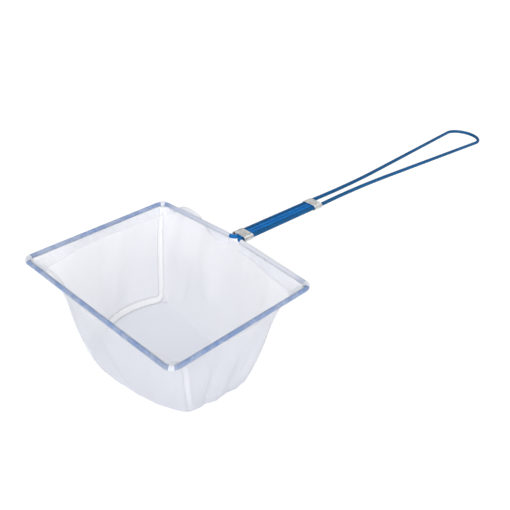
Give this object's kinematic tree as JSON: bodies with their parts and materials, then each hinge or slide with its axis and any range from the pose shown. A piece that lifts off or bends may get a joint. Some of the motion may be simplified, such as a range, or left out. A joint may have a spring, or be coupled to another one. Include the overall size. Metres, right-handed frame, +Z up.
{
  "type": "fine-mesh dip net",
  "caption": "Hand net with a square-cornered mesh bag on a coated wire frame, for lifting leaves, debris or fish out of water.",
  "frame": {"origin": "on the underside of the bag's floor, below the middle of the mouth", "axes": "+X along the handle to its hanging bow, +Z up out of the mouth"},
  "size_m": [0.3962, 0.1276, 0.0699],
  "materials": {
    "steel_core": "bare drawn steel wire",
    "blue_coating": "smooth glossy blue coat",
    "clip_steel": "bright strip with a pressed grid pattern",
    "mesh": "fine translucent white mesh",
    "rim_hem": "white mesh drawn tight over blue wire",
    "seam": "dense white overlocked seam",
    "thread": "white sewing thread"
  },
  "bodies": {
    "root": {"frame_wire_core": "steel_core", "frame_wire_coating": "blue_coating", "handle_loop_core": "steel_core", "handle_loop_coating": "blue_coating", "front_clip": "clip_steel", "rear_clip": "clip_steel", "bag_strip": "mesh", "left_gusset": "mesh", "right_gusset": "mesh", "front_hem": "rim_hem", "left_hem": "rim_hem", "right_hem": "rim_hem", "back_left_hem": "rim_hem", "back_right_hem": "rim_hem", "left_seam": "seam", "right_seam": "seam", "front_hem_thread": "thread", "left_hem_thread": "thread", "right_hem_thread": "thread", "back_left_hem_thread": "thread", "back_right_hem_thread": "thread"}
  },
  "joints": []
}
